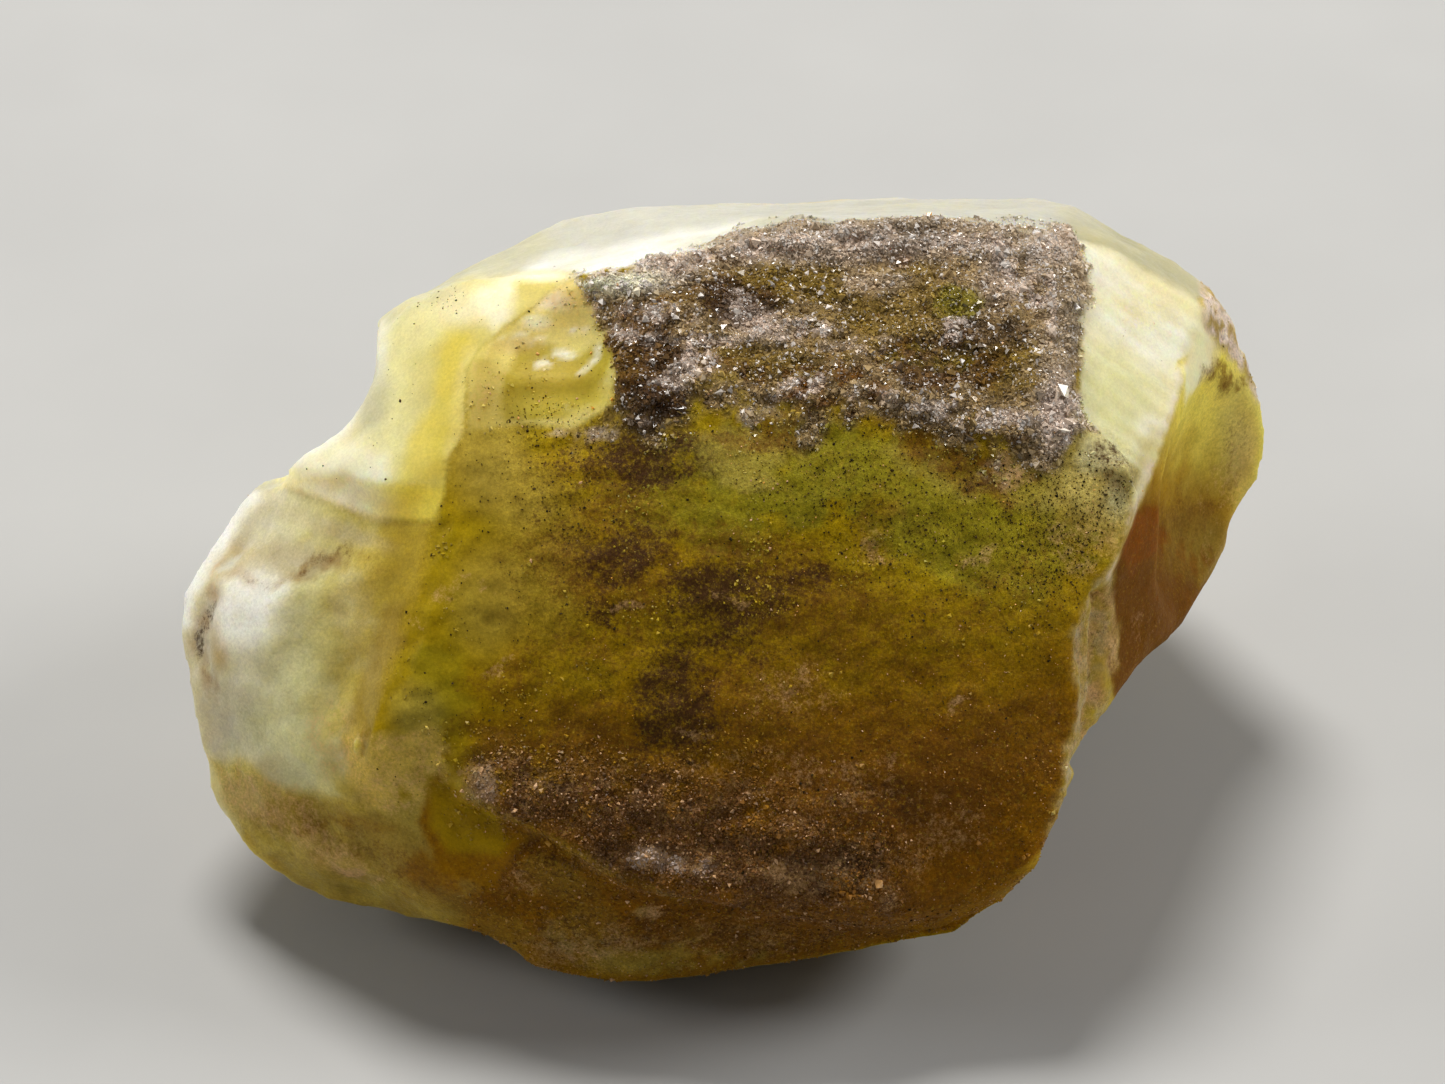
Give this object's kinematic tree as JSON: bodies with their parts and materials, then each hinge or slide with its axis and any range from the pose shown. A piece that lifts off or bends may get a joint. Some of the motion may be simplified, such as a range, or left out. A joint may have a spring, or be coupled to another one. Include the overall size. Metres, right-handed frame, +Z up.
{
  "type": "datolite crystal",
  "caption": "Chunky broken mineral crystal, olive-yellow and glassy with a milky knob and sparkling crusts, that lies on its flat underside as a display specimen.",
  "frame": {"origin": "on the resting plane, under the middle of the bounding box", "axes": "+Z up; +X along the crystal's length, from the pale knob to the broken amber end; -Y the side of the olive main face, which looks up and forwards; +Y the back"},
  "size_m": [0.0308, 0.023, 0.0182],
  "materials": {
    "crystal": "glassy, partly milky, with drusy crusts"
  },
  "bodies": {
    "root": {"crystal": "crystal"}
  },
  "joints": []
}
